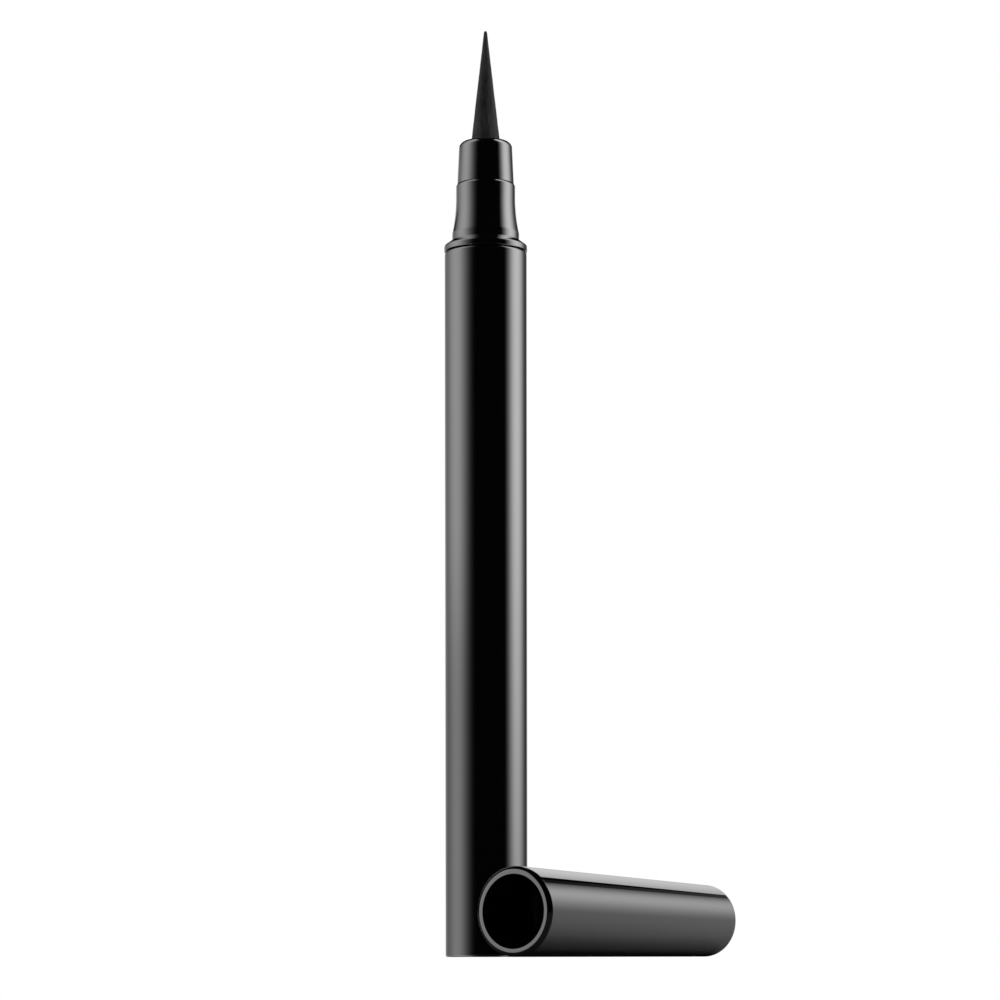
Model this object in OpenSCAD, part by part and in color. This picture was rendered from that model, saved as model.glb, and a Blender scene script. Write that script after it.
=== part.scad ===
// Liquid eyeliner pen, standing on its base, with its cap off and lying beside it.
// Millimetres. +Z runs up the pen and the origin is the centre of the barrel's base.
// Every piece is a turned shape, so each outline is a list of [radius, height] points.

/* [Barrel] */
// Height of the barrel's front edge above its base
barrel_len = 85.2; // [78:0.1:95]
// Outer diameter at the front edge
barrel_front_d = 10; // [9.9:0.05:10.8]
// Outer diameter at the base
barrel_base_d = 9.7; // [9.6:0.05:10.4]
// Bore of the ink tank
tank_d = 7.8; // [7.5:0.05:7.9]
// Radial step from the tank's bore to the wider bores at its two ends
bore_step = 0.3; // [0.2:0.02:0.34]
// Radius of the edge round the base
base_round = 0.25; // [0.1:0.05:0.4]
// Radius of the edge at the barrel's front
front_round = 0.4; // [0.2:0.05:0.5]
// Radius of the flange's lower edge, which faces the barrel's front
seam_round = 0.06; // [0.06:0.02:0.2]

/* [Tail plug] */
// Height of the plug, which is pressed in up to a step in the bore
plug_h = 6; // [4.5:0.1:8]
// Thickness of the plug's floor
plug_floor = 1.2; // [0.8:0.1:1.8]
// Wall of the plug's skirt
plug_wall = 0.8; // [0.6:0.05:0.95]

/* [Tank] */
// Diameter of the mixing ball
ball_d = 5; // [3.5:0.1:5.4]
// Thickness of the partition above the tank
partition_t = 1.6; // [1.2:0.1:2.4]
// Height of the collar under the partition, which stops the ball
partition_collar_h = 1.5; // [1:0.1:2.5]
// Number of ink ports in the partition
partition_ports = 4; // [3:1:6]

/* [Ink collector] */
// Length of the finned part
comb_len = 21; // [16:0.1:26]
// Spacing of the fins
fin_pitch = 0.8; // [0.7:0.02:1]
// Thickness of one fin
fin_t = 0.3; // [0.25:0.01:0.4]
// Diameter of the core that carries the fins
core_d = 3.6; // [3.3:0.05:4.2]
// Diameter of the relay wick in the core
wick_d = 1.8; // [1.5:0.05:1.9]

/* [Front section] */
// Length of the spigot inside the barrel
spigot_len = 12.2; // [10:0.1:15]
// Diameter of the flange on the barrel's front edge
flange_d = 10.1; // [9.95:0.05:11]
// Height of the flange
flange_h = 0.7; // [0.6:0.05:1.4]
// Height of the sloping shoulder above the flange
shoulder_h = 0.7; // [0.5:0.05:1.2]
// Diameter of the lip that the cap grips
lip_d = 8.16; // [7.9:0.02:8.4]
// Height of that lip
lip_h = 0.85; // [0.6:0.05:1.4]
// Height over which the neck draws in above the lip
flare_h = 4.5; // [3:0.1:6]
// Diameter of the neck
neck_d = 7.2; // [7.1:0.02:7.6]
// Height of the straight neck
neck_h = 1.65; // [1.2:0.05:3]

/* [Nib holder] */
// Diameter of the nose just above the step
nose_root_d = 6.9; // [6.7:0.05:7]
// Diameter that the nose tapers to
nose_tip_d = 6.5; // [6.3:0.05:6.65]
// Height of the nose
nose_h = 5.3; // [4.5:0.05:7]
// Radius of the edge round the nose's end
nose_round = 0.8; // [0.5:0.05:1.1]
// Diameter of the holder's stem inside the neck
stem_d = 5.56; // [5.3:0.02:5.7]

/* [Nib] */
// Diameter of the nib where it leaves the nose
nib_d = 3.55; // [3:0.05:3.6]
// Length of the nib in front of the nose
nib_len = 14.05; // [11:0.05:16]
// Radius of the nib's very point
nib_point_r = 0.18; // [0.06:0.01:0.2]

/* [Cap] */
// Length of the cap
cap_len = 41.2; // [40:0.1:48]
// Outer diameter at the mouth
cap_mouth_d = 10; // [9.8:0.05:10.6]
// Outer diameter at the closed end
cap_end_d = 8.5; // [8.4:0.05:9.6]
// Thickness of the closed end
cap_end_t = 1; // [0.8:0.05:1.6]
// Radius of the edge round the mouth
cap_mouth_round = 0.5; // [0.15:0.05:0.55]
// Radius of the edge round the closed end
cap_end_round = 0.7; // [0.3:0.05:0.9]
// Distance of the lying cap's axis from the pen's axis
cap_aside = 18.9; // [14:0.1:30]
// Distance of the cap's mouth in front of the pen's axis
cap_forward = 21.9; // [10:0.1:30]

/* [Inner cap] */
// Depth of the inner cap's lip behind the mouth, pushed out by the spring
inner_cap_depth = 10.5; // [9.5:0.05:11.2]
// Length of the inner cap
inner_cap_len = 17.6; // [16.8:0.1:18.6]
// Bore of the inner cap
inner_cap_bore_d = 6.2; // [6.05:0.02:6.3]
// Outer diameter of the inner cap's two guide rings
inner_cap_guide_d = 7.4; // [7.2:0.02:7.5]
// Distance that the nose pushes the inner cap back
inner_cap_travel = 1.8; // [1:0.1:2]
// Thickness of the ring that keeps the inner cap in
stop_ring_t = 0.8; // [0.5:0.05:1]
// Wire of the spring
wire_d = 0.45; // [0.35:0.01:0.5]
// Turns of the spring
spring_turns = 8; // [6:1:9]

/* [Hidden] */

// Facets round a turned piece, and steps along a rounded edge
$fn = 96;
round_steps = 5;
flare_steps = 9;

// Clearances: pieces pressed together, pieces that slide, and the cap on its lip
press_gap = 0.02;
slide_gap = 0.08;
cap_gap = 0.05;
// Overrun of the cutting shapes
cut_over = 0.5;

black = [0.03, 0.03, 0.033];
dark_grey = [0.11, 0.11, 0.115];
natural = [0.85, 0.85, 0.82];
steel = [0.72, 0.73, 0.75];

// Barrel
barrel_front_r = barrel_front_d / 2;
barrel_base_r = barrel_base_d / 2;
tank_r = tank_d / 2;
wide_bore_r = tank_r + bore_step;
spigot_room = 0.1;
section_bore_z = barrel_len - spigot_len - spigot_room;

// Tail plug
plug_r = wide_bore_r - press_gap;
plug_bead_h = 0.5;
plug_bead_depth = 0.12;
plug_bead_gap = 1.1;
plug_chamfer = 0.15;

// Front section, from the seam upwards
spigot_z = barrel_len - spigot_len;
spigot_r = wide_bore_r - press_gap;
spigot_lead = 0.3;
spigot_bore_r = 3.1;
section_step_depth = 2.2;
section_step_z = barrel_len - section_step_depth;
flange_z = barrel_len + press_gap;
shoulder_z = flange_z + flange_h;
lip_z = shoulder_z + shoulder_h;
flare_z = lip_z + lip_h;
neck_z = flare_z + flare_h;
neck_top_z = neck_z + neck_h;
shoulder_round = 0.3;
neck_round = 0.3;
flange_r = flange_d / 2;
lip_r = lip_d / 2;
neck_r = neck_d / 2;

// O-ring in its groove on the spigot
o_ring_wire_d = 0.56;
groove_w = 0.8;
groove_up = 3;
groove_r = wide_bore_r - o_ring_wire_d;
groove_z = spigot_z + groove_up;

// Nib holder
holder_r = stem_d / 2;
holder_bore_r = holder_r + press_gap;
stem_len = 11.6;
stem_z = neck_top_z - stem_len;
nose_z = neck_top_z + press_gap;
nose_top_z = nose_z + nose_h;
nib_bore_r = nib_d / 2 + press_gap;
clip_r = 2.28;
clip_bore_r = clip_r + press_gap;
clip_seat_depth = 3.1;
clip_seat_z = neck_top_z - clip_seat_depth;

// Nib and its clip
nib_tail_len = 3;
nib_tail_z = clip_seat_z - nib_tail_len;
nib_socket_len = 3;
nib_tip_z = nose_top_z + nib_len;
clip_h = 1.5;
clip_notch_w = 0.6;
clip_notch_depth = 0.28;

// Ink collector and wick
collector_flange_t = 1;
collector_top_z = spigot_z - press_gap;
comb_top_z = collector_top_z - collector_flange_t;
comb_z = comb_top_z - comb_len;
fin_count = floor(comb_len / fin_pitch);
comb_gap = 0.15;
comb_r = tank_r - comb_gap;
core_r = core_d / 2;
wick_r = wick_d / 2;
wick_bore_r = wick_r + press_gap;
tube_r = 1.5;
tube_top_z = nib_tail_z - press_gap;
air_slot_w = 1.2;
air_slot_floor = 0.5;
air_slot_r = core_r + air_slot_floor;
ink_slit_w = 0.3;
side_slit_w = 0.5;
side_slit_floor = 1;
side_slit_r = core_r + side_slit_floor;

// Partition, and the ball's travel below it
partition_z = comb_z - press_gap - partition_t;
collar_z = partition_z - partition_collar_h;
collar_wall = 1.1;
collar_r = wick_r + collar_wall;
port_r = 0.5;
port_ring_r = (collar_r + tank_r) / 2;
ball_r = ball_d / 2;
ball_z = plug_floor + press_gap + ball_r;
ball_stop_gap = 0.4;
ball_travel = collar_z - ball_stop_gap - ball_r - ball_z;
wick_recess = 0.5;
wick_z = collar_z + wick_recess;

// Cap, in its own frame: axis along +Z from the mouth to the closed end
cap_mouth_r = cap_mouth_d / 2;
cap_end_r = cap_end_d / 2;
cap_mouth_bore_r = lip_r + cap_gap;
guide_r = inner_cap_guide_d / 2;
guide_bore_r = guide_r + slide_gap;
stop_ring_hold = 0.25;
stop_ring_bore_r = guide_r - stop_ring_hold;
stop_ring_z = inner_cap_depth - press_gap - stop_ring_t;
stop_seat_step = 0.2;
stop_seat_r = cap_mouth_bore_r - stop_seat_step;
spring_seat_z = cap_len - cap_end_t;
spring_bore_r = 3.45;
guide_spare = 0.8;
guide_bore_end_z = inner_cap_depth + inner_cap_len + inner_cap_travel + guide_spare;
cap_tilt = atan((cap_mouth_r - cap_end_r) / cap_len);
cap_axis_z = cap_mouth_r * cos(cap_tilt);

// Inner cap
inner_cap_bore_r = inner_cap_bore_d / 2;
guide_ring_step = 0.2;
inner_cap_r = guide_r - guide_ring_step;
inner_cap_end_t = 0.9;
guide_ring_h = 1.6;
boss_r = 2.3;
boss_h = 1.2;
boss_round = 0.3;
inner_cap_back_z = inner_cap_depth + inner_cap_len;

// Spring between the inner cap and the closed end
spring_mean_r = 2.85;
spring_end_gap = 0.05;
spring_end_pitch = 0.95;
spring_sides = 8;
spring_steps = 14;
spring_low_z = inner_cap_back_z + spring_end_gap + wire_d / 2;
spring_high_z = spring_seat_z - spring_end_gap - wire_d / 2;

// Points on an arc about [cx, cz], from angle a0 to a1
function arc(cx, cz, r, a0, a1, steps = round_steps) =
    [for (i = [0:steps]) let (a = a0 + (a1 - a0) * i / steps) [cx + r * cos(a), cz + r * sin(a)]];

// Height along the spring's wire after a number of turns: the end turns lie closer
function spring_rise(turn) =
    let (open_pitch = (spring_high_z - spring_low_z - 2 * spring_end_pitch) / (spring_turns - 2))
    turn < 1 ? spring_end_pitch * turn
    : turn > spring_turns - 1 ? spring_end_pitch * (turn - spring_turns + 2) + open_pitch * (spring_turns - 2)
    : spring_end_pitch + open_pitch * (turn - 1);

function spring_point(turn) =
    [spring_mean_r * cos(360 * turn), spring_mean_r * sin(360 * turn), spring_low_z + spring_rise(turn)];

// Draws its children where the lying cap is, resting on its lowest side
module lay_cap() {
    translate([cap_aside, -cap_forward, cap_axis_z]) rotate([-90 - cap_tilt, 0, 0]) children();
}

// Moulded tube: tank in the middle, a wider bore at each end for the plug and the spigot
module barrel() {
    color(black) rotate_extrude() polygon(concat(
        arc(barrel_base_r - base_round, base_round, base_round, -90, 0),
        arc(barrel_front_r - front_round, barrel_len - front_round, front_round, 0, 90),
        [[wide_bore_r, barrel_len],
         [wide_bore_r, section_bore_z],
         [tank_r, section_bore_z],
         [tank_r, plug_h],
         [wide_bore_r, plug_h],
         [wide_bore_r, 0]]));
}

// Cup pressed into the tail, with two sealing beads on its skirt
module tail_plug() {
    skirt_r = plug_r - plug_bead_depth;
    bead_z = plug_h - plug_bead_gap - plug_bead_h;
    low_bead_z = bead_z - plug_bead_gap - plug_bead_h;
    top_z = plug_h - press_gap;
    color(black) rotate_extrude() polygon([
        [0, 0],
        [plug_r - plug_chamfer, 0],
        [plug_r, plug_chamfer],
        [plug_r, plug_floor],
        [skirt_r, plug_floor + plug_bead_depth],
        [skirt_r, low_bead_z - plug_bead_depth],
        [plug_r, low_bead_z],
        [plug_r, low_bead_z + plug_bead_h],
        [skirt_r, low_bead_z + plug_bead_h + plug_bead_depth],
        [skirt_r, bead_z - plug_bead_depth],
        [plug_r, bead_z],
        [plug_r, bead_z + plug_bead_h],
        [skirt_r, bead_z + plug_bead_h + plug_bead_depth],
        [skirt_r, top_z],
        [plug_r - plug_wall, top_z],
        [plug_r - plug_wall, plug_floor],
        [0, plug_floor]]);
}

module mixing_ball() {
    color(steel) translate([0, 0, ball_z]) sphere(ball_r);
}

// Pierced disc between the tank and the collector, with a collar round the wick's end
module tank_partition() {
    color(natural) difference() {
        union() {
            translate([0, 0, partition_z]) cylinder(h = partition_t, r = tank_r - press_gap);
            translate([0, 0, collar_z]) cylinder(h = partition_collar_h + partition_t / 2, r = collar_r);
        }
        translate([0, 0, collar_z - cut_over])
            cylinder(h = partition_collar_h + partition_t + 2 * cut_over, r = wick_bore_r);
        for (i = [0:partition_ports - 1]) rotate([0, 0, 360 * i / partition_ports])
            translate([port_ring_r, 0, partition_z - cut_over])
                cylinder(h = partition_t + 2 * cut_over, r = port_r, $fn = 24);
    }
}

// Comb of fins on a hollow core. An ink slit, an air slot and two side slits run through the fins
module ink_collector() {
    comb = [for (i = [0:fin_count - 1]) let (z = comb_z + i * fin_pitch)
        each [[core_r, z], [comb_r, z], [comb_r, z + fin_t], [core_r, z + fin_t]]];
    slot_h = comb_len + cut_over;
    color(dark_grey) difference() {
        rotate_extrude() polygon(concat(
            [[wick_bore_r, comb_z]],
            comb,
            [[core_r, comb_top_z],
             [comb_r, comb_top_z],
             [comb_r, collector_top_z],
             [tube_r, collector_top_z],
             [tube_r, tube_top_z],
             [wick_bore_r, tube_top_z]]));
        translate([-ink_slit_w / 2, 0, comb_z - cut_over]) cube([ink_slit_w, tank_r, slot_h]);
        translate([-air_slot_w / 2, -air_slot_r - tank_r, comb_z - cut_over])
            cube([air_slot_w, tank_r, slot_h + collector_flange_t + cut_over]);
        for (side = [-1, 1]) translate([side * (side_slit_r + tank_r / 2), 0, comb_z + slot_h / 2 - cut_over])
            cube([tank_r, side_slit_w, slot_h], center = true);
    }
}

module relay_wick() {
    wick_top_z = nib_tail_z + nib_socket_len - press_gap;
    color(natural) translate([0, 0, wick_z]) cylinder(h = wick_top_z - wick_z, r = wick_r);
}

// Spigot, flange, sloping shoulder, lip for the cap, and the flared neck
module front_section() {
    flare_r = (pow(flare_h, 2) + pow(lip_r - neck_r, 2)) / (2 * (lip_r - neck_r));
    flare_angle = asin(flare_h / flare_r);
    shoulder_angle = atan((flange_r - lip_r) / shoulder_h);
    color(black) rotate_extrude() polygon(concat(
        [[spigot_bore_r, spigot_z],
         [spigot_r - spigot_lead, spigot_z],
         [spigot_r, spigot_z + spigot_lead],
         [spigot_r, groove_z],
         [groove_r, groove_z],
         [groove_r, groove_z + groove_w],
         [spigot_r, groove_z + groove_w],
         [spigot_r, flange_z]],
        arc(flange_r - seam_round, flange_z + seam_round, seam_round, -90, 0),
        arc(flange_r - shoulder_round, shoulder_z - shoulder_round / 2, shoulder_round, 0, 90 - shoulder_angle / 2),
        [[lip_r, lip_z],
         [lip_r, flare_z]],
        [for (i = [1:flare_steps]) let (a = flare_angle * (1 - i / flare_steps))
            [neck_r + flare_r * (1 - cos(a)), neck_z - flare_r * sin(a)]],
        arc(neck_r - neck_round, neck_top_z - neck_round, neck_round, 0, 90),
        [[holder_bore_r, neck_top_z],
         [holder_bore_r, section_step_z],
         [spigot_bore_r, section_step_z - (spigot_bore_r - holder_bore_r)]]));
}

module section_o_ring() {
    color(dark_grey) translate([0, 0, groove_z + groove_w / 2]) rotate_extrude()
        translate([groove_r + o_ring_wire_d / 2, 0]) circle(o_ring_wire_d / 2 - press_gap, $fn = 24);
}

// Tapered nose with a rounded end, on a stem that is bored for the clip and the nib
module nib_holder() {
    color(black) rotate_extrude() polygon(concat(
        [[clip_bore_r, stem_z],
         [holder_r, stem_z],
         [holder_r, nose_z],
         [nose_root_d / 2, nose_z]],
        arc(nose_tip_d / 2 - nose_round, nose_top_z - nose_round, nose_round, 0, 90),
        [[nib_bore_r, nose_top_z],
         [nib_bore_r, clip_seat_z],
         [clip_bore_r, clip_seat_z]]));
}

// Ring round the nib's stem, notched on its inside so that air can pass
module nib_clip() {
    top_z = clip_seat_z - press_gap;
    color(natural) difference() {
        translate([0, 0, top_z - clip_h]) cylinder(h = clip_h, r = clip_r);
        translate([0, 0, top_z - clip_h - cut_over]) cylinder(h = clip_h + 2 * cut_over, r = nib_bore_r);
        for (a = [0, 180]) rotate([0, 0, a]) translate([0, -clip_notch_w / 2, top_z - clip_h - cut_over])
            cube([nib_bore_r + clip_notch_depth, clip_notch_w, clip_h + 2 * cut_over]);
    }
}

// Fibre point: straight stem with a socket for the wick, and a long tapered point
module nib() {
    nib_r = nib_d / 2;
    color(dark_grey) rotate_extrude() polygon([
        [wick_bore_r, nib_tail_z],
        [nib_r, nib_tail_z],
        [nib_r, nose_top_z],
        [nib_point_r, nib_tip_z - nib_point_r],
        [nib_point_r / 2, nib_tip_z - nib_point_r / 6],
        [0, nib_tip_z],
        [0, nib_tail_z + nib_socket_len],
        [wick_bore_r, nib_tail_z + nib_socket_len]]);
}

// Tapered shell, bored in steps: mouth, seat of the stop ring, guide for the inner cap, room for the spring
module cap_shell() {
    taper_r = cap_mouth_r - cap_end_r;
    edge_r = cap_mouth_r - taper_r * cap_mouth_round / cap_len;
    end_edge_r = cap_end_r + taper_r * cap_end_round / cap_len;
    color(black) lay_cap() rotate_extrude() polygon(concat(
        [[cap_mouth_bore_r, 0]],
        arc(edge_r - cap_mouth_round, cap_mouth_round, cap_mouth_round, -90, 0),
        arc(end_edge_r - cap_end_round, cap_len - cap_end_round, cap_end_round, 0, 90),
        [[0, cap_len],
         [0, spring_seat_z],
         [spring_bore_r, spring_seat_z],
         [spring_bore_r, guide_bore_end_z],
         [guide_bore_r, guide_bore_end_z],
         [guide_bore_r, inner_cap_depth],
         [stop_seat_r, inner_cap_depth],
         [stop_seat_r, stop_ring_z],
         [cap_mouth_bore_r, stop_ring_z]]));
}

// Ring pressed into its seat behind the mouth's bore, in front of the inner cap
module inner_cap_stop() {
    ring_r = stop_seat_r - press_gap;
    ring_chamfer = stop_ring_t / 3;
    color(black) lay_cap() translate([0, 0, stop_ring_z]) rotate_extrude() polygon([
        [stop_ring_bore_r + ring_chamfer, 0],
        [ring_r, 0],
        [ring_r, stop_ring_t],
        [stop_ring_bore_r, stop_ring_t],
        [stop_ring_bore_r, ring_chamfer]]);
}

// Cup with a guide ring at each end and a boss that centres the spring
module inner_cap() {
    front_z = inner_cap_depth + press_gap;
    cup_z = inner_cap_back_z - inner_cap_end_t;
    color(dark_grey) lay_cap() rotate_extrude() polygon([
        [inner_cap_bore_r, front_z],
        [guide_r, front_z],
        [guide_r, front_z + guide_ring_h],
        [inner_cap_r, front_z + guide_ring_h],
        [inner_cap_r, inner_cap_back_z - guide_ring_h],
        [guide_r, inner_cap_back_z - guide_ring_h],
        [guide_r, inner_cap_back_z],
        [boss_r, inner_cap_back_z],
        [boss_r, inner_cap_back_z + boss_h - boss_round],
        [boss_r - boss_round, inner_cap_back_z + boss_h],
        [0, inner_cap_back_z + boss_h],
        [0, cup_z],
        [inner_cap_bore_r, cup_z]]);
}

// Coil of round wire, swept as rings of points along its helix
module cap_spring() {
    rings = spring_turns * spring_steps;
    points = [for (i = [0:rings]) for (j = [0:spring_sides - 1])
        let (turn = i / spring_steps, a = 360 * j / spring_sides, centre = spring_point(turn),
             out = wire_d / 2 * cos(a), up = wire_d / 2 * sin(a))
        [centre.x + out * cos(360 * turn), centre.y + out * sin(360 * turn), centre.z + up]];
    sides = [for (i = [0:rings - 1]) for (j = [0:spring_sides - 1])
        let (k = (j + 1) % spring_sides, a = i * spring_sides, b = a + spring_sides)
        each [[a + j, a + k, b + k], [a + j, b + k, b + j]]];
    first_end = [for (j = [1:spring_sides - 2]) [0, j + 1, j]];
    last = rings * spring_sides;
    last_end = [for (j = [1:spring_sides - 2]) [last, last + j, last + j + 1]];
    color(steel) lay_cap() polyhedron(points, concat(sides, first_end, last_end), convexity = 10);
}

// Least gap between the spring's turns, measured on points half a turn or more apart
spring_gap = min([for (i = [0:spring_turns * spring_steps])
    for (j = [i + spring_steps / 2:spring_turns * spring_steps])
        norm(spring_point(i / spring_steps) - spring_point(j / spring_steps)) - wire_d]);
echo(spring_least_gap = spring_gap, ball_travel = ball_travel, cap_tilt = cap_tilt);

barrel();
tail_plug();
mixing_ball();
tank_partition();
ink_collector();
relay_wick();
front_section();
section_o_ring();
nib_holder();
nib_clip();
nib();
cap_shell();
inner_cap_stop();
inner_cap();
cap_spring();
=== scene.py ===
import math

import bmesh
import bpy
from mathutils import Matrix, Vector, noise


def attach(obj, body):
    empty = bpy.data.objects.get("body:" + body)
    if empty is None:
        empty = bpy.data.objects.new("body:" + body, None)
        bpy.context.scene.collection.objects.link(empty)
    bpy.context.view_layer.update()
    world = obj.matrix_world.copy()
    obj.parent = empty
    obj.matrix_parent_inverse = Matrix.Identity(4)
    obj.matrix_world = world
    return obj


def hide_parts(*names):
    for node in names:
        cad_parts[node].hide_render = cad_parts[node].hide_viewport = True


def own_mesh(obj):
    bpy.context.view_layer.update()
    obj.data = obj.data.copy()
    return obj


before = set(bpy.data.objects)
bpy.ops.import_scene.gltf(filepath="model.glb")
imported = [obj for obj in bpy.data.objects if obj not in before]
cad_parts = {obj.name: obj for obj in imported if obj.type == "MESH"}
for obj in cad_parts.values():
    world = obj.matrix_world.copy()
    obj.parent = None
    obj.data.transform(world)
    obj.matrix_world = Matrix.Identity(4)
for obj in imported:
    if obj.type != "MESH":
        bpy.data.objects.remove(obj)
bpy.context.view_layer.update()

# The camera stands at the height of the surface, as in the photograph, and looks up at the pen.
# The barrel's base sets the scale, and the pen stands a little left of the middle of the picture.
MM = 0.001
picture_px = 1000
base_row_px = 957
pen_column_px = 486.7
barrel_base_px = 81.8
barrel_base_diameter = 9.7 * MM
camera_distance = 400 * MM
camera_height = 0.0
camera_azimuth = math.radians(35)
camera_roll = math.radians(0.1)
sensor_width_mm = 36

px_per_metre = barrel_base_px / barrel_base_diameter
dip = math.atan2(camera_height, camera_distance)
sight_line = math.hypot(camera_distance, camera_height)
base_angle = math.asin((base_row_px - picture_px / 2) / (px_per_metre * sight_line))
focal_px = px_per_metre * sight_line * math.cos(base_angle)
aside_angle = math.atan((picture_px / 2 - pen_column_px) / focal_px)

lens = bpy.data.cameras.new("photo_camera")
lens.sensor_width = sensor_width_mm
lens.lens = focal_px / picture_px * sensor_width_mm
lens.clip_start = 5 * MM
lens.clip_end = 20
camera = bpy.data.objects.new("photo_camera", lens)
camera.location = (
    camera_distance * math.sin(camera_azimuth),
    -camera_distance * math.cos(camera_azimuth),
    camera_height,
)
camera.rotation_euler = (math.pi / 2 + base_angle - dip, camera_roll, camera_azimuth - aside_angle)
bpy.context.scene.collection.objects.link(camera)
bpy.context.scene.camera = camera


# Barrel: a moulded tube, narrower towards its base, with a polished black surface.
# Its bore is the ink tank, and its front edge is rounded where it meets the collar.
barrel_length = 85.2
barrel_front_radius = 5.0
barrel_base_radius = 4.85
tank_radius = 3.9
wide_bore_radius = 4.2
spigot_bore_height = 72.9
plug_height = 6.0
base_edge_radius = 0.25
foot_height = 3.0
front_edge_radius = 0.4
arc_steps = 8
merge_distance = 0.0005
grain_share = 0.12
plastic_ior = 1.5
relief_depth = 0.02
cloud_gain = 1.35


def arc(centre_radius, centre_height, radius, start, end, steps=arc_steps):
    """Points from one angle to another, in degrees, round a centre in the outline's plane."""
    angles = [math.radians(start + (end - start) * i / steps) for i in range(steps + 1)]
    return [(centre_radius + radius * math.cos(angle), centre_height + radius * math.sin(angle))
            for angle in angles]


def held(outline, closed, reach=0.05, longest=0.5):
    """The outline with a point near both ends of each long stretch, so that its shading stays flat."""
    points = []
    ends = outline[1:] + outline[:1] if closed else outline[1:]
    for (r0, z0), (r1, z1) in zip(outline, ends):
        points.append((r0, z0))
        length = math.hypot(r1 - r0, z1 - z0)
        if length > longest:
            share = reach / length
            points.append((r0 + (r1 - r0) * share, z0 + (z1 - z0) * share))
            points.append((r1 + (r0 - r1) * share, z1 + (z0 - z1) * share))
    return points if closed else points + [outline[-1]]


def turned(name, outline, place=None, steps=180, sharp=35):
    """A piece spun from an outline of (radius, height) points in millimetres. An outline that starts
    and ends on the axis stays open there, and its piece closes at the poles."""
    closed = outline[0][0] > 0 or outline[-1][0] > 0
    points = held(outline, closed)
    shape = bmesh.new()
    verts = [shape.verts.new((r * MM, 0, z * MM)) for r, z in points]
    ends = verts[1:] + verts[:1] if closed else verts[1:]
    edges = [shape.edges.new(pair) for pair in zip(verts, ends)]
    bmesh.ops.spin(shape, geom=verts + edges, cent=(0, 0, 0), axis=(0, 0, 1), angle=math.tau,
                   steps=steps, use_merge=True)
    bmesh.ops.remove_doubles(shape, verts=shape.verts, dist=merge_distance * MM)
    bmesh.ops.recalc_face_normals(shape, faces=shape.faces)
    if place is not None:
        bmesh.ops.transform(shape, matrix=place, verts=shape.verts)
    mesh = bpy.data.meshes.new(name)
    shape.to_mesh(mesh)
    shape.free()
    mesh.polygons.foreach_set("use_smooth", [True] * len(mesh.polygons))
    mesh.set_sharp_from_angle(angle=math.radians(sharp))
    piece = bpy.data.objects.new(name, mesh)
    bpy.context.scene.collection.objects.link(piece)
    return piece


def node(tree, kind, **values):
    """A shader node with its properties set, and its inputs set where a name has a capital letter."""
    made = tree.nodes.new(kind)
    for key, value in values.items():
        if key[0].isupper():
            made.inputs[key.replace("_", " ")].default_value = value
        else:
            setattr(made, key, value)
    return made


def moulded_surface_group():
    """Roughness and height of a moulded surface: slow waves, fine grain and faint smudges."""
    group = bpy.data.node_groups.new("moulded_surface", "ShaderNodeTree")
    defaults = {"Smooth": 0.05, "Dull": 0.12, "Grain Scale": 4000.0, "Wave Scale": 220.0}
    for socket, value in defaults.items():
        made = group.interface.new_socket(socket, in_out="INPUT", socket_type="NodeSocketFloat")
        made.default_value = value
    group.interface.new_socket("Roughness", in_out="OUTPUT", socket_type="NodeSocketFloat")
    group.interface.new_socket("Height", in_out="OUTPUT", socket_type="NodeSocketFloat")
    start = group.nodes.new("NodeGroupInput")
    end = group.nodes.new("NodeGroupOutput")
    place = node(group, "ShaderNodeTexCoord")
    smudge = node(group, "ShaderNodeTexNoise", Scale=160.0, Detail=4.0, Roughness=0.6)
    grain = node(group, "ShaderNodeTexNoise", Detail=3.0, Roughness=0.5)
    wave = node(group, "ShaderNodeTexNoise", Detail=1.0, Roughness=0.4)
    spread = node(group, "ShaderNodeMapRange", From_Min=0.35, From_Max=0.75)
    heights = node(group, "ShaderNodeMath", operation="MULTIPLY_ADD")
    heights.inputs[1].default_value = grain_share
    link = group.links.new
    for texture in (smudge, grain, wave):
        link(place.outputs["Object"], texture.inputs["Vector"])
    link(start.outputs["Grain Scale"], grain.inputs["Scale"])
    link(start.outputs["Wave Scale"], wave.inputs["Scale"])
    link(smudge.outputs["Fac"], spread.inputs["Value"])
    link(start.outputs["Smooth"], spread.inputs["To Min"])
    link(start.outputs["Dull"], spread.inputs["To Max"])
    link(spread.outputs["Result"], end.inputs["Roughness"])
    link(grain.outputs["Fac"], heights.inputs[0])
    link(wave.outputs["Fac"], heights.inputs[2])
    link(heights.outputs["Value"], end.inputs["Height"])
    return group


moulded_surface = moulded_surface_group()


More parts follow.
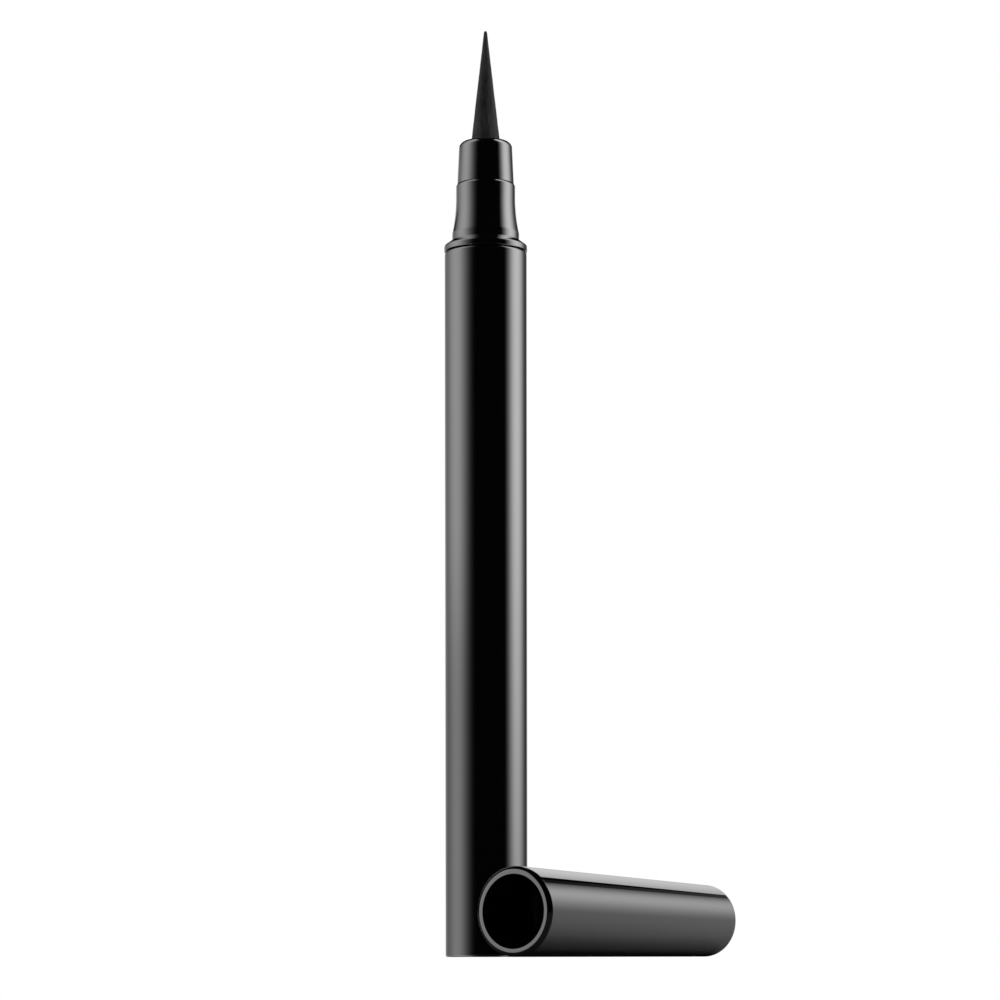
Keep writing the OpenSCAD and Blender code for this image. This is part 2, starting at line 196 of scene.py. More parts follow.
def moulded_plastic(name, colour, smooth, dull, bump, grain_scale=4000.0, coat=0.0,
                    coat_roughness=0.03):
    """Injection-moulded plastic. Its roughness and relief come from the moulded surface group."""
    material = bpy.data.materials.new(name)
    material.use_nodes = True
    tree = material.node_tree
    shader = tree.nodes["Principled BSDF"]
    shader.inputs["IOR"].default_value = plastic_ior
    shader.inputs["Coat Weight"].default_value = coat
    shader.inputs["Coat Roughness"].default_value = coat_roughness
    surface = node(tree, "ShaderNodeGroup", node_tree=moulded_surface)
    surface.inputs["Smooth"].default_value = smooth
    surface.inputs["Dull"].default_value = dull
    surface.inputs["Grain Scale"].default_value = grain_scale
    relief = node(tree, "ShaderNodeBump", Strength=bump, Distance=relief_depth * MM)
    place = node(tree, "ShaderNodeTexCoord")
    cloud = node(tree, "ShaderNodeTexNoise", Scale=300.0, Detail=2.0)
    tint = node(tree, "ShaderNodeMix", data_type="RGBA")
    tint.inputs["A"].default_value = (*colour, 1)
    tint.inputs["B"].default_value = (*[level * cloud_gain for level in colour], 1)
    link = tree.links.new
    link(place.outputs["Object"], cloud.inputs["Vector"])
    link(cloud.outputs["Fac"], tint.inputs["Factor"])
    link(tint.outputs["Result"], shader.inputs["Base Color"])
    link(surface.outputs["Roughness"], shader.inputs["Roughness"])
    link(surface.outputs["Height"], relief.inputs["Height"])
    link(relief.outputs["Normal"], shader.inputs["Normal"])
    return material


polished_black = moulded_plastic("polished_black", (0.0008, 0.0008, 0.0009), smooth=0.01, dull=0.03,
                                bump=0.03, coat=1.0, coat_roughness=0.01)

base_edge = arc(barrel_base_radius - base_edge_radius, base_edge_radius, base_edge_radius, -90, 0)
front_edge = arc(barrel_front_radius - front_edge_radius, barrel_length - front_edge_radius,
                 front_edge_radius, 0, 90)
barrel = turned("barrel_tube", base_edge + [(barrel_base_radius, foot_height)] + front_edge
                + [(wide_bore_radius, barrel_length),
                   (wide_bore_radius, spigot_bore_height),
                   (tank_radius, spigot_bore_height),
                   (tank_radius, plug_height),
                   (wide_bore_radius, plug_height),
                   (wide_bore_radius, 0)])
barrel.data.materials.append(polished_black)
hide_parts("barrel")
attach(barrel, "pen")


# Tail plug: a cup pressed into the barrel's tail, moulded in plain black with a satin floor.
# It closes the tank, and its flat underside is part of what the pen stands on.
def give_finish(material, *names):
    """Give these CAD pieces, which keep their shape, a material."""
    for name in names:
        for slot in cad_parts[name].material_slots:
            slot.material = material


satin_black = moulded_plastic("satin_black", (0.006, 0.006, 0.0065), smooth=0.32, dull=0.45, bump=0.12,
                              grain_scale=2500.0)
give_finish(satin_black, "tail_plug")


# Mixing ball: a ground steel ball, loose in the tank, which stirs the ink when the pen is shaken.
# It rests on the plug's floor.
ground_steel = moulded_plastic("ground_steel", (0.55, 0.56, 0.58), smooth=0.12, dull=0.22, bump=0.05,
                              grain_scale=6000.0)
ground_steel.node_tree.nodes["Principled BSDF"].inputs["Metallic"].default_value = 1.0
give_finish(ground_steel, "mixing_ball")


# Partition and nib clip: small mouldings of unpigmented plastic.
# The partition is pierced for the ink, and the clip grips the nib inside its holder.
milky_plastic = moulded_plastic("milky_plastic", (0.62, 0.62, 0.58), smooth=0.35, dull=0.5, bump=0.1,
                               grain_scale=2500.0)
give_finish(milky_plastic, "tank_partition", "nib_clip")


# Ink collector: a comb of thin moulded fins that soaks up ink pushed out of the tank by warmth.
# It is matt, so that ink wets it.
matt_black = moulded_plastic("matt_black", (0.02, 0.02, 0.021), smooth=0.5, dull=0.7, bump=0.25,
                            grain_scale=1800.0)
give_finish(matt_black, "ink_collector")


# O-ring: moulded rubber, in a groove on the spigot, where it seals the front section in the barrel.
seal_rubber = moulded_plastic("seal_rubber", (0.012, 0.012, 0.012), smooth=0.55, dull=0.7, bump=0.2,
                             grain_scale=3000.0)
give_finish(seal_rubber, "section_o_ring")


# Front section: the collar on the barrel's front edge, the lip that the cap grips and the flared neck.
# It is one moulding, as glossy as the barrel, and its spigot is hidden in the barrel.
part_gap = 0.02
spigot_base = 73.0
spigot_radius = 4.18
spigot_lead = 0.3
spigot_bore_radius = 3.1
groove_base = 76.0
groove_height = 0.8
groove_radius = 3.64
collar_radius = 5.05
collar_height = 0.7
seam_edge_radius = 0.06
shoulder_height = 0.7
shoulder_edge_radius = 0.3
lip_radius = 4.08
lip_height = 0.85
flare_height = 4.5
flare_steps = 24
neck_radius = 3.6
neck_height = 1.65
neck_edge_radius = 0.3
holder_bore_radius = 2.8
bore_step_height = 83.0

collar_base = barrel_length + part_gap
shoulder_base = collar_base + collar_height
lip_base = shoulder_base + shoulder_height
flare_base = lip_base + lip_height
neck_base = flare_base + flare_height
neck_top = neck_base + neck_height
shoulder_angle = math.degrees(math.atan2(collar_radius - lip_radius, shoulder_height))
flare_depth = lip_radius - neck_radius
flare_arc_radius = (flare_height ** 2 + flare_depth ** 2) / (2 * flare_depth)
flare_angle = math.degrees(math.asin(flare_height / flare_arc_radius))

seam_edge = arc(collar_radius - seam_edge_radius, collar_base + seam_edge_radius, seam_edge_radius,
                -90, 0)
shoulder_edge = arc(collar_radius - shoulder_edge_radius, shoulder_base - shoulder_edge_radius / 2,
                    shoulder_edge_radius, 0, 90 - shoulder_angle / 2)
flare = arc(neck_radius + flare_arc_radius, neck_base, flare_arc_radius, 180 + flare_angle, 180,
            flare_steps)
neck_edge = arc(neck_radius - neck_edge_radius, neck_top - neck_edge_radius, neck_edge_radius, 0, 90)
front = turned("front_collar", [(spigot_bore_radius, spigot_base),
                                (spigot_radius - spigot_lead, spigot_base),
                                (spigot_radius, spigot_base + spigot_lead),
                                (spigot_radius, groove_base),
                                (groove_radius, groove_base),
                                (groove_radius, groove_base + groove_height),
                                (spigot_radius, groove_base + groove_height),
                                (spigot_radius, collar_base)]
               + seam_edge + shoulder_edge + [(lip_radius, lip_base)] + flare + neck_edge
               + [(holder_bore_radius, neck_top),
                  (holder_bore_radius, bore_step_height),
                  (spigot_bore_radius, bore_step_height - spigot_bore_radius + holder_bore_radius)])
front.data.materials.append(polished_black)
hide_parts("front_section")
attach(front, "pen")


# Nib holder: the tapered nose above the small step, with a rounded end round the nib.
# Its stem is pressed down inside the neck.
stem_depth = 11.6
stem_radius = 2.78
clip_bore_radius = 2.3
clip_depth = 3.1
nose_root_radius = 3.45
nose_tip_radius = 3.25
nose_height = 5.3
nose_edge_radius = 0.8
nose_edge_steps = 16
nib_bore_radius = 1.795

stem_base = neck_top - stem_depth
clip_seat = neck_top - clip_depth
nose_base = neck_top + part_gap
nose_top = nose_base + nose_height
nose_edge = arc(nose_tip_radius - nose_edge_radius, nose_top - nose_edge_radius, nose_edge_radius,
                0, 90, nose_edge_steps)
nose = turned("nose_holder", [(clip_bore_radius, stem_base),
                              (stem_radius, stem_base),
                              (stem_radius, nose_base),
                              (nose_root_radius, nose_base)]
              + nose_edge
              + [(nib_bore_radius, nose_top),
                 (nib_bore_radius, clip_seat),
                 (clip_bore_radius, clip_seat)])
nose.data.materials.append(polished_black)
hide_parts("nib_holder")
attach(nose, "pen")


# Wick: a rod of bonded fibre, wet with ink, from the tank up into the nib's socket.
# Both the wick and the nib show fine lengthwise fibres.
felt_relief_depth = 0.03


def fibre_group():
    """Lengthwise fibres: a mask that runs along the pen's axis, and slow blotches of dried ink."""
    group = bpy.data.node_groups.new("lengthwise_fibre", "ShaderNodeTree")
    group.interface.new_socket("Fibre", in_out="OUTPUT", socket_type="NodeSocketFloat")
    group.interface.new_socket("Blotch", in_out="OUTPUT", socket_type="NodeSocketFloat")
    end = group.nodes.new("NodeGroupOutput")
    place = node(group, "ShaderNodeTexCoord")
    stretch = node(group, "ShaderNodeMapping", Scale=(1.0, 1.0, 0.12))
    fibre = node(group, "ShaderNodeTexNoise", Scale=5200.0, Detail=4.0, Roughness=0.65)
    blotch = node(group, "ShaderNodeTexNoise", Scale=900.0, Detail=3.0, Roughness=0.6)
    link = group.links.new
    link(place.outputs["Object"], stretch.inputs["Vector"])
    link(stretch.outputs["Vector"], fibre.inputs["Vector"])
    link(stretch.outputs["Vector"], blotch.inputs["Vector"])
    link(fibre.outputs["Fac"], end.inputs["Fibre"])
    link(blotch.outputs["Fac"], end.inputs["Blotch"])
    return group


lengthwise_fibre = fibre_group()


def bonded_fibre(name, dark, light, bump):
    """Felt of bonded fibres: a dull surface, streaked and blotched between two colours."""
    material = bpy.data.materials.new(name)
    material.use_nodes = True
    tree = material.node_tree
    shader = tree.nodes["Principled BSDF"]
    shader.inputs["Sheen Weight"].default_value = 0.05
    shader.inputs["Specular IOR Level"].default_value = 0.15
    fibres = node(tree, "ShaderNodeGroup", node_tree=lengthwise_fibre)
    mixed = node(tree, "ShaderNodeMath", operation="MULTIPLY")
    spread = node(tree, "ShaderNodeMapRange", From_Min=0.14, From_Max=0.36)
    tint = node(tree, "ShaderNodeMix", data_type="RGBA")
    tint.inputs["A"].default_value = (*dark, 1)
    tint.inputs["B"].default_value = (*light, 1)
    rough = node(tree, "ShaderNodeMapRange", To_Min=0.62, To_Max=0.85)
    relief = node(tree, "ShaderNodeBump", Strength=bump, Distance=felt_relief_depth * MM)
    link = tree.links.new
    link(fibres.outputs["Fibre"], mixed.inputs[0])
    link(fibres.outputs["Blotch"], mixed.inputs[1])
    link(mixed.outputs["Value"], spread.inputs["Value"])
    link(spread.outputs["Result"], tint.inputs["Factor"])
    link(tint.outputs["Result"], shader.inputs["Base Color"])
    link(fibres.outputs["Fibre"], rough.inputs["Value"])
    link(rough.outputs["Result"], shader.inputs["Roughness"])
    link(fibres.outputs["Fibre"], relief.inputs["Height"])
    link(relief.outputs["Normal"], shader.inputs["Normal"])
    return material


wet_wick = bonded_fibre("wet_wick", dark=(0.02, 0.02, 0.022), light=(0.07, 0.07, 0.075), bump=0.5)
give_finish(wet_wick, "relay_wick")


# Nib: a point of bonded fibre, ground to a long slender cone and soaked with black ink.
# Its stem is held by the clip, and the wick feeds it from below. Fine grooves run along its fibres.
nib_radius = 1.775
nib_length = 14.05
nib_point_radius = 0.18
nib_rings = 64
nib_facets = 192
tail_depth = 3.0
socket_radius = 0.92
socket_length = 3.0
groove_depth = 0.035
groove_density = 7.0
groove_stretch = 0.09
groove_full_height = 0.4
groove_full_share = 0.5
groove_roughness = 0.8
groove_lacunarity = 2.0
groove_octaves = 3

nib_tail = clip_seat - tail_depth
nib_tip = nose_top + nib_length
point_angle = math.degrees(math.atan((nib_radius - nib_point_radius) / nib_length))
nib_sides = [(nib_point_radius + (nib_radius - nib_point_radius) * i / nib_rings,
              nib_tip - nib_length * i / nib_rings)
             for i in range(nib_rings, 0, -1)]
nib = turned("felt_nib", [(0, nib_tail + socket_length),
                          (socket_radius, nib_tail + socket_length),
                          (socket_radius, nib_tail),
                          (nib_radius, nib_tail)]
             + nib_sides
             + arc(0, nib_tip - nib_point_radius, nib_point_radius, point_angle, 90), steps=nib_facets)
for vertex in nib.data.vertices:
    spot = vertex.co / MM
    if spot.z > nose_top and spot.xy.length > nib_point_radius:
        ease = min(1, (spot.z - nose_top) / groove_full_height)
        ease *= min(1, spot.xy.length / nib_radius / groove_full_share)
        along = Vector((spot.x, spot.y, 0)).normalized() * groove_density
        along.z = spot.z * groove_stretch * groove_density
        grain = noise.fractal(along, groove_roughness, groove_lacunarity, groove_octaves)
        depth = groove_depth * ease * (0.5 + 0.5 * grain)
        vertex.co.xy -= Vector((spot.x, spot.y)).normalized() * max(0, depth) * MM
soaked_felt = bonded_fibre("soaked_felt", dark=(0.0015, 0.0015, 0.0016), light=(0.02, 0.02, 0.021),
                           bump=0.8)
nib.data.materials.append(soaked_felt)
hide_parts("nib")
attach(nib, "pen")


# Cap shell: a glossy moulding, tapered towards its closed end and bored in steps for what it holds.
# It lies on its side, so its axis tips down by the taper of its wall.
cap_length = 41.2
cap_mouth_radius = 5.0
cap_end_radius = 4.25
cap_end_thickness = 1.0
cap_mouth_edge = 0.5
cap_end_edge = 0.7
cap_end_steps = 12
cap_aside = 18.9
cap_forward = 21.9
mouth_bore_radius = 4.13
ring_seat_radius = 3.93
ring_front = 9.68
guide_front = 10.5
guide_bore_radius = 3.78
guide_bore_end = 30.7
spring_bore_radius = 3.45

cap_tilt = math.atan2(cap_mouth_radius - cap_end_radius, cap_length)
mouth_height = cap_mouth_radius * math.cos(cap_tilt)
cap_place = (Matrix.Translation((cap_aside * MM, -cap_forward * MM, mouth_height * MM))
             @ Matrix.Rotation(-math.pi / 2 - cap_tilt, 4, "X"))
cap_slope = (cap_mouth_radius - cap_end_radius) / cap_length
mouth_edge_radius = cap_mouth_radius - cap_slope * cap_mouth_edge
end_edge_radius = cap_end_radius + cap_slope * cap_end_edge
cap = turned("cap_body", [(mouth_bore_radius, 0)]
             + arc(mouth_edge_radius - cap_mouth_edge, cap_mouth_edge, cap_mouth_edge, -90, 0)
             + arc(end_edge_radius - cap_end_edge, cap_length - cap_end_edge, cap_end_edge, 0, 90,
                   cap_end_steps)
             + [(0, cap_length),
                (0, cap_length - cap_end_thickness),
                (spring_bore_radius, cap_length - cap_end_thickness),
                (spring_bore_radius, guide_bore_end),
                (guide_bore_radius, guide_bore_end),
                (guide_bore_radius, guide_front),
                (ring_seat_radius, guide_front),
                (ring_seat_radius, ring_front),
                (mouth_bore_radius, ring_front)], place=cap_place)
cap.data.materials.append(polished_black)
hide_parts("cap_shell")
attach(cap, "cap")


# Stop ring: pressed into its seat behind the mouth, where it keeps the inner cap in.
# Its front inner edge is chamfered so that the pen's nose finds its way in.
ring_radius = ring_seat_radius - part_gap
ring_bore_radius = 3.45
ring_thickness = 0.8
ring_chamfer = ring_thickness / 3
ring = turned("stop_ring", [(ring_bore_radius + ring_chamfer, ring_front),
                            (ring_radius, ring_front),
                            (ring_radius, ring_front + ring_thickness),
                            (ring_bore_radius, ring_front + ring_thickness),
                            (ring_bore_radius, ring_front + ring_chamfer)], place=cap_place)
ring.data.materials.append(satin_black)
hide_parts("inner_cap_stop")
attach(ring, "cap")


# Inner cap: a sliding cup that closes over the nose and keeps the nib from drying out.
# A guide ring at each end runs in the cap's bore, and a boss centres the spring.
cup_front = 10.52
cup_back = 28.1
cup_bore_radius = 3.1
cup_guide_radius = 3.7
cup_radius = 3.5
cup_guide_height = 1.6
cup_end_thickness = 0.9
boss_radius = 2.3
boss_height = 1.2
boss_chamfer = 0.3
cup = turned("sliding_cup", [(cup_bore_radius, cup_front),
                             (cup_guide_radius, cup_front),
                             (cup_guide_radius, cup_front + cup_guide_height),
                             (cup_radius, cup_front + cup_guide_height),
                             (cup_radius, cup_back - cup_guide_height),
                             (cup_guide_radius, cup_back - cup_guide_height),
                             (cup_guide_radius, cup_back),
                             (boss_radius, cup_back),
                             (boss_radius, cup_back + boss_height - boss_chamfer),
                             (boss_radius - boss_chamfer, cup_back + boss_height),
                             (0, cup_back + boss_height),
                             (0, cup_back - cup_end_thickness),
                             (cup_bore_radius, cup_back - cup_end_thickness)], place=cap_place)
cup.data.materials.append(satin_black)
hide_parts("inner_cap")
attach(cup, "inner_cap")


# Spring: a coil of steel wire between the inner cap and the cap's closed end, its end turns closer.
wire_radius = 0.225
coil_radius = 2.85
coil_turns = 8
coil_start = 28.375
coil_end = 39.925
end_pitch = 0.95
wire_sides = 12
steps_per_turn = 40
wire_sharp = 50

open_rise = coil_end - coil_start - 2 * end_pitch
shape = bmesh.new()
wire_end = bmesh.ops.create_circle(shape, cap_ends=False, radius=wire_radius * MM, segments=wire_sides,
                                   matrix=Matrix.Translation((coil_radius * MM, 0, coil_start * MM))
                                   @ Matrix.Rotation(math.pi / 2, 4, "X"))["verts"]
section = list(wire_end) + list(shape.edges)
for turns, rise in ((1, end_pitch), (coil_turns - 2, open_rise), (1, end_pitch)):
    steps = turns * steps_per_turn
    spun = bmesh.ops.spin(shape, geom=section, cent=(0, 0, 0), axis=(0, 0, 1), angle=math.tau * turns,
                          steps=steps, dvec=(0, 0, rise * MM / steps), use_merge=False)
    section = spun["geom_last"]
bmesh.ops.holes_fill(shape, edges=[edge for edge in shape.edges if edge.is_boundary], sides=wire_sides)
bmesh.ops.recalc_face_normals(shape, faces=shape.faces)
bmesh.ops.transform(shape, matrix=cap_place, verts=shape.verts)
mesh = bpy.data.meshes.new("coil_spring")
shape.to_mesh(mesh)
shape.free()
mesh.polygons.foreach_set("use_smooth", [True] * len(mesh.polygons))
mesh.set_sharp_from_angle(angle=math.radians(wire_sharp))
spring = bpy.data.objects.new("coil_spring", mesh)
bpy.context.scene.collection.objects.link(spring)
spring_steel = moulded_plastic("spring_steel", (0.5, 0.5, 0.52), smooth=0.2, dull=0.3, bump=0.05,
                              grain_scale=6000.0)
spring_steel.node_tree.nodes["Principled BSDF"].inputs["Metallic"].default_value = 1.0
spring.data.materials.append(spring_steel)
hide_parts("cap_spring")
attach(spring, "cap")
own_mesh(spring)


# Floor: a plain pale studio surface that pen and cap stand on, smooth and matt with the faintest
# cloudiness. Far from the pen it merges with the white backdrop. Nine tenths of each glossy ray pass
# it, as if dark flags hid it from the pen, so that reflections show little of it.
floor_radius = 1.5
floor_sides = 96
floor_shades = (0.78, 0.81)
fade_start = 0.2
fade_end = 1.3
flagged_share = 0.9
shape = bmesh.new()
bmesh.ops.create_circle(shape, cap_ends=True, radius=floor_radius, segments=floor_sides)
mesh = bpy.data.meshes.new("studio_floor")
shape.to_mesh(mesh)
shape.free()
floor = bpy.data.objects.new("studio_floor", mesh)
bpy.context.scene.collection.objects.link(floor)
pale_floor = bpy.data.materials.new("pale_floor")
pale_floor.use_nodes = True
tree = pale_floor.node_tree
link = tree.links.new
shader = tree.nodes["Principled BSDF"]
shader.inputs["Roughness"].default_value = 0.9
shader.inputs["Specular IOR Level"].default_value = 0.0
place = node(tree, "ShaderNodeTexCoord")
cloud = node(tree, "ShaderNodeTexNoise", Scale=3.0, Detail=2.0)
tint = node(tree, "ShaderNodeMix", data_type="RGBA")
for socket, shade in zip("AB", floor_shades):
    tint.inputs[socket].default_value = (shade, shade, shade, 1)
distance = node(tree, "ShaderNodeVectorMath", operation="LENGTH")
fade = node(tree, "ShaderNodeMapRange", interpolation_type="SMOOTHSTEP", From_Min=fade_start,
            From_Max=fade_end)
paths = node(tree, "ShaderNodeLightPath")
sharp_rays = node(tree, "ShaderNodeMath", operation="ADD")
all_rays = node(tree, "ShaderNodeMath", operation="ADD")
share = node(tree, "ShaderNodeMath", operation="MULTIPLY")
white = node(tree, "ShaderNodeEmission", Strength=1.0)
white.inputs["Color"].default_value = (1, 1, 1, 1)
merged = node(tree, "ShaderNodeMixShader")
hidden = node(tree, "ShaderNodeMath", operation="MULTIPLY")
hidden.inputs[1].default_value = flagged_share
clear = node(tree, "ShaderNodeBsdfTransparent")
flagged = node(tree, "ShaderNodeMixShader")
link(place.outputs["Object"], cloud.inputs["Vector"])
link(cloud.outputs["Fac"], tint.inputs["Factor"])
link(tint.outputs["Result"], shader.inputs["Base Color"])
link(place.outputs["Object"], distance.inputs[0])
link(distance.outputs["Value"], fade.inputs["Value"])
link(paths.outputs["Is Glossy Ray"], sharp_rays.inputs[0])
link(paths.outputs["Is Transmission Ray"], sharp_rays.inputs[1])
link(paths.outputs["Is Camera Ray"], all_rays.inputs[0])
link(sharp_rays.outputs["Value"], all_rays.inputs[1])
link(fade.outputs["Result"], share.inputs[0])
link(all_rays.outputs["Value"], share.inputs[1])
link(share.outputs["Value"], merged.inputs["Fac"])
link(shader.outputs["BSDF"], merged.inputs[1])
link(white.outputs["Emission"], merged.inputs[2])
link(paths.outputs["Is Glossy Ray"], hidden.inputs[0])
link(hidden.outputs["Value"], flagged.inputs["Fac"])
link(merged.outputs["Shader"], flagged.inputs[1])
link(clear.outputs["BSDF"], flagged.inputs[2])
link(flagged.outputs["Shader"], tree.nodes["Material Output"].inputs["Surface"])
floor.data.materials.append(pale_floor)


# Light: curved diffusers stand left, right and behind the pen, and four more light the cap. Angles are
# in degrees round the pen, from the camera's side towards the right of the picture. Most go on below
# the floor's level, for reflections that look down, because glossy rays mostly pass the floor.
camera_side = math.degrees(camera_azimuth) - 90
panel_steps = 24
pen_distance = 0.6
cap_distance = 0.64
panel_top = 1.6
panel_foot = -1.6
lamp_size = 0.8
lamp_power = 4.8
lamp_height = 1.0


def diffuser(name, strength, rise, fall, pieces, distance, height=0.6, foot=0.0, softness=1.0,
             climb=None, lean=0.0, span=None):
    """A curved panel of light for these pieces, as bright as its strength between rise and fall, which
    lean this many degrees per metre of height. climb holds two distances from the floor's level, and
    the share of the light at the first. span gives the panel's own ends where they aren't those of
    rise and fall. distance is its radius, and it stands from foot to height."""
    first, last = span or (rise[0], fall[1])
    middle = (first + last) / 2
    reach = (last - first) / 2
    shape = bmesh.new()
    low = shape.verts.new((distance, 0, foot))
    high = shape.verts.new((distance, 0, height))
    edge = shape.edges.new((low, high))
    turn = Matrix.Rotation(math.radians(camera_side + middle - reach), 4, "Z")
    bmesh.ops.transform(shape, matrix=turn, verts=[low, high])
    bmesh.ops.spin(shape, geom=[low, high, edge], cent=(0, 0, 0), axis=(0, 0, 1),
                   angle=math.radians(2 * reach), steps=panel_steps)
    bmesh.ops.recalc_face_normals(shape, faces=shape.faces)
    mesh = bpy.data.meshes.new(name)
    shape.to_mesh(mesh)
    shape.free()
    panel = bpy.data.objects.new(name, mesh)
    bpy.context.scene.collection.objects.link(panel)
    material = bpy.data.materials.new(name)
    material.use_nodes = True
    tree = material.node_tree
    tree.nodes.remove(tree.nodes["Principled BSDF"])
    place = node(tree, "ShaderNodeTexCoord")
    turned_round = node(tree, "ShaderNodeMapping")
    turned_round.inputs["Rotation"].default_value = (0, 0, -math.radians(camera_side + middle))
    split = node(tree, "ShaderNodeSeparateXYZ")
    upright = node(tree, "ShaderNodeMath", operation="ARCTAN2")
    angle = node(tree, "ShaderNodeMath", operation="MULTIPLY_ADD")
    angle.inputs[1].default_value = -math.radians(lean)
    up = node(tree, "ShaderNodeMapRange", interpolation_type="SMOOTHSTEP")
    down = node(tree, "ShaderNodeMapRange", interpolation_type="SMOOTHSTEP")
    for step, (near, far), (before, after) in ((up, rise, (0, 1)), (down, fall, (1, 0))):
        step.inputs["From Min"].default_value = math.radians(near - middle)
        step.inputs["From Max"].default_value = math.radians(far - middle)
        step.inputs["To Min"].default_value = before
        step.inputs["To Max"].default_value = after
    eased = node(tree, "ShaderNodeMath", operation="POWER")
    eased.inputs[1].default_value = softness
    level = node(tree, "ShaderNodeMath", operation="MULTIPLY")
    from_floor = node(tree, "ShaderNodeMath", operation="ABSOLUTE")
    lift = node(tree, "ShaderNodeMapRange", interpolation_type="SMOOTHSTEP")
    dim, bright, share = climb or (0, 1, 1)
    lift.inputs["From Min"].default_value = dim
    lift.inputs["From Max"].default_value = bright
    lift.inputs["To Min"].default_value = share * strength
    lift.inputs["To Max"].default_value = strength
    scaled = node(tree, "ShaderNodeMath", operation="MULTIPLY")
    glow = node(tree, "ShaderNodeEmission")
    clear = node(tree, "ShaderNodeBsdfTransparent")
    both = node(tree, "ShaderNodeAddShader")
    link = tree.links.new
    link(place.outputs["Object"], turned_round.inputs["Vector"])
    link(turned_round.outputs["Vector"], split.inputs["Vector"])
    link(split.outputs["Y"], upright.inputs[0])
    link(split.outputs["X"], upright.inputs[1])
    link(split.outputs["Z"], angle.inputs[0])
    link(upright.outputs["Value"], angle.inputs[2])
    link(angle.outputs["Value"], up.inputs["Value"])
    link(angle.outputs["Value"], down.inputs["Value"])
    link(up.outputs["Result"], level.inputs[0])
    link(down.outputs["Result"], level.inputs[1])
    link(level.outputs["Value"], eased.inputs[0])
    link(split.outputs["Z"], from_floor.inputs[0])
    link(from_floor.outputs["Value"], lift.inputs["Value"])
    link(eased.outputs["Value"], scaled.inputs[0])
    link(lift.outputs["Result"], scaled.inputs[1])
    link(scaled.outputs["Value"], glow.inputs["Strength"])
    link(glow.outputs["Emission"], both.inputs[0])
    link(clear.outputs["BSDF"], both.inputs[1])
    link(both.outputs["Shader"], tree.nodes["Material Output"].inputs["Surface"])
    panel.data.materials.append(material)
    panel.visible_camera = False
    lit = bpy.data.collections.new(name + "_lit")
    for piece in pieces:
        lit.objects.link(piece)
    panel.light_linking.receiver_collection = lit


pen_pieces = [barrel, front, nose, nib] + [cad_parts[name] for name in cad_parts
                                           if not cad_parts[name].hide_render]
cap_pieces = [cap, ring, cup, spring]
diffuser("right_diffuser", 4.4, rise=(51, 89), fall=(92, 142), pieces=pen_pieces, distance=pen_distance,
         height=panel_top, foot=panel_foot, softness=1.3, climb=(-0.03, 0.16, 0.56))
diffuser("left_diffuser", 2.65, rise=(-166, -86), fall=(-84, -22), pieces=pen_pieces,
         distance=pen_distance, height=panel_top, foot=panel_foot, softness=2.0,
         climb=(0.07, 0.135, 0.68))
diffuser("back_diffuser", 0.35, rise=(154.5, 156), fall=(200, 250), pieces=pen_pieces, distance=0.62,
         height=0.27, foot=panel_foot)
diffuser("cap_side_diffuser", 1.8, rise=(98, 106), fall=(117, 144), pieces=cap_pieces,
         distance=cap_distance, climb=(-0.042, 0.319, 0.28), span=(98, 138.5))
diffuser("cap_under_diffuser", 0.6, rise=(98, 106), fall=(118, 168), pieces=cap_pieces,
         distance=cap_distance, height=0.0, foot=-0.6, climb=(0.65, -0.05, 0.0))
diffuser("cap_mouth_diffuser", 1.95, rise=(-90, -82), fall=(-62, -52), pieces=cap_pieces,
         distance=cap_distance, height=0.4, foot=-0.09)
diffuser("cap_back_diffuser", 1.12, rise=(115.6, 117.1), fall=(185, 200), pieces=cap_pieces,
         distance=cap_distance, climb=(0, 0.42, 0.4), lean=88, span=(143, 200))

overhead = bpy.data.lights.new("overhead", "AREA")
overhead.shape = "DISK"
overhead.size = lamp_size
overhead.energy = lamp_power
overhead_lamp = bpy.data.objects.new("overhead", overhead)
overhead_lamp.location = (0, 0, lamp_height)
overhead_lamp.visible_camera = False
overhead_lamp.visible_glossy = False
bpy.context.scene.collection.objects.link(overhead_lamp)


# Surroundings: white for camera and transmission rays, as in a white studio. Glossy rays are added, but
# nearly all of their share is taken away again, as dark flags would do. What is left is a dim low wall
# at the pen's right. Its edges are in degrees from the side opposite the camera and up from the floor.
ambient_level = 0.5
white_level = 1.0
wall_level = 0.15
wall_near_edge = (-34, -32)
wall_far_edge = (-75, -45)
wall_top_edge = (24, 32)
flag_level = 0.002

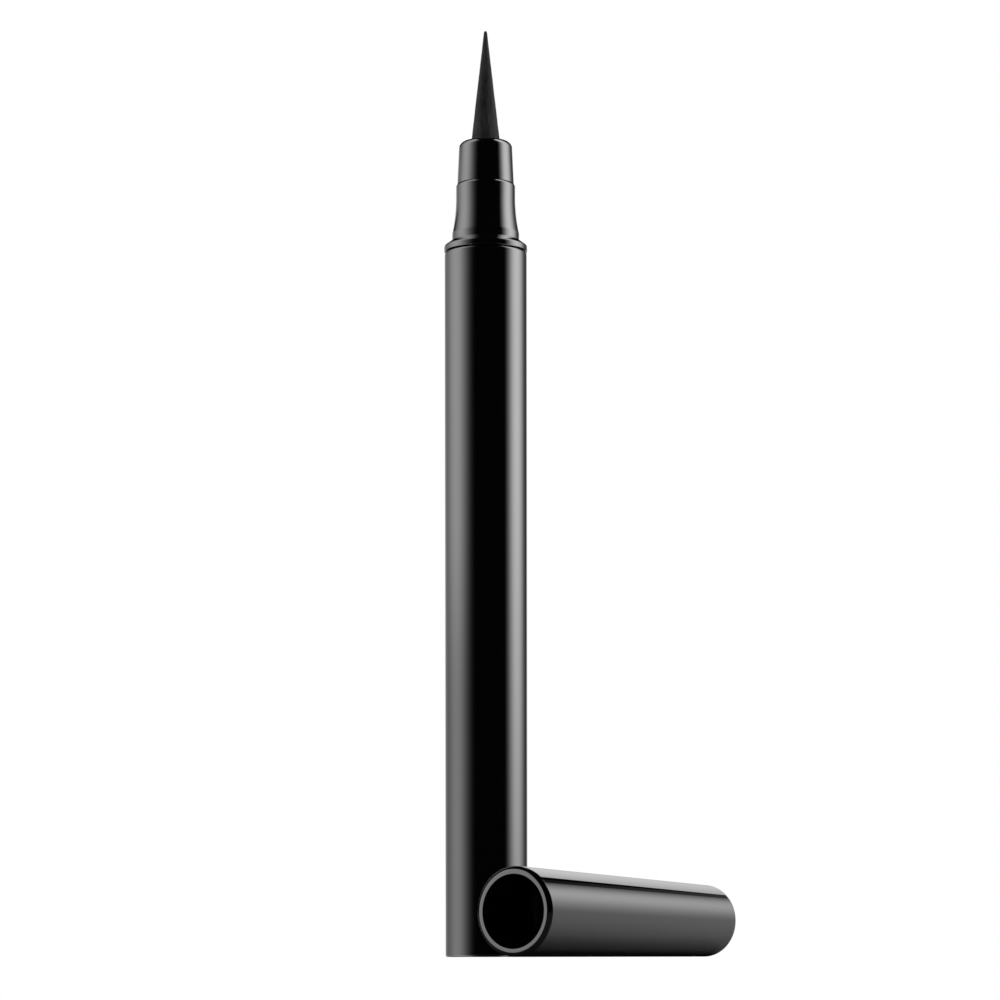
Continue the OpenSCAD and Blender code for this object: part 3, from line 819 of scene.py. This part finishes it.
world = bpy.data.worlds.new("studio")
bpy.context.scene.world = world
world.use_nodes = True
tree = world.node_tree
link = tree.links.new
background = tree.nodes["Background"]
place = node(tree, "ShaderNodeTexCoord")
turned_round = node(tree, "ShaderNodeMapping")
turned_round.inputs["Rotation"].default_value = (0, 0, -math.radians(camera_side + 180))
split = node(tree, "ShaderNodeSeparateXYZ")
angle = node(tree, "ShaderNodeMath", operation="ARCTAN2")
link(place.outputs["Generated"], turned_round.inputs["Vector"])
link(turned_round.outputs["Vector"], split.inputs["Vector"])
link(split.outputs["Y"], angle.inputs[0])
link(split.outputs["X"], angle.inputs[1])


def ramp(source, edge, first, last):
    """A smooth step from the first value to the last over an edge of an angle or height, in degrees."""
    made = node(tree, "ShaderNodeMapRange", interpolation_type="SMOOTHSTEP")
    made.inputs["From Min"].default_value = math.radians(edge[0])
    made.inputs["From Max"].default_value = math.radians(edge[1])
    made.inputs["To Min"].default_value = first
    made.inputs["To Max"].default_value = last
    link(source, made.inputs["Value"])
    return made.outputs["Result"]


def combine(operation, first, second):
    """One of Blender's sums on two values, either of which may be a plain number."""
    made = node(tree, "ShaderNodeMath", operation=operation)
    for value, socket in zip((first, second), made.inputs):
        if isinstance(value, (int, float)):
            socket.default_value = value
        else:
            link(value, socket)
    return made.outputs["Value"]


turn = angle.outputs["Value"]
height = split.outputs["Z"]
wall = combine("MULTIPLY", ramp(turn, wall_near_edge, 1, 0), ramp(turn, wall_far_edge, 0, wall_level))
above_floor = combine("GREATER_THAN", height, 0.0)
low_enough = combine("MULTIPLY", above_floor, ramp(height, wall_top_edge, 1, 0))
unflagged = combine("ADD", combine("MULTIPLY", wall, low_enough), flag_level)
paths = node(tree, "ShaderNodeLightPath")
mirrored = paths.outputs["Is Glossy Ray"]
clear_rays = combine("ADD", paths.outputs["Is Camera Ray"], paths.outputs["Is Transmission Ray"])
seen = combine("ADD", clear_rays, mirrored)
hidden_share = combine("MULTIPLY", mirrored, combine("SUBTRACT", 1.0, unflagged))
open_share = combine("SUBTRACT", 1.0, hidden_share)
surround = combine("ADD", combine("MULTIPLY", seen, white_level - ambient_level), ambient_level)
link(combine("MULTIPLY", surround, open_share), background.inputs["Strength"])
background.inputs["Color"].default_value = (1, 1, 1, 1)

bpy.context.scene.view_settings.view_transform = "Standard"
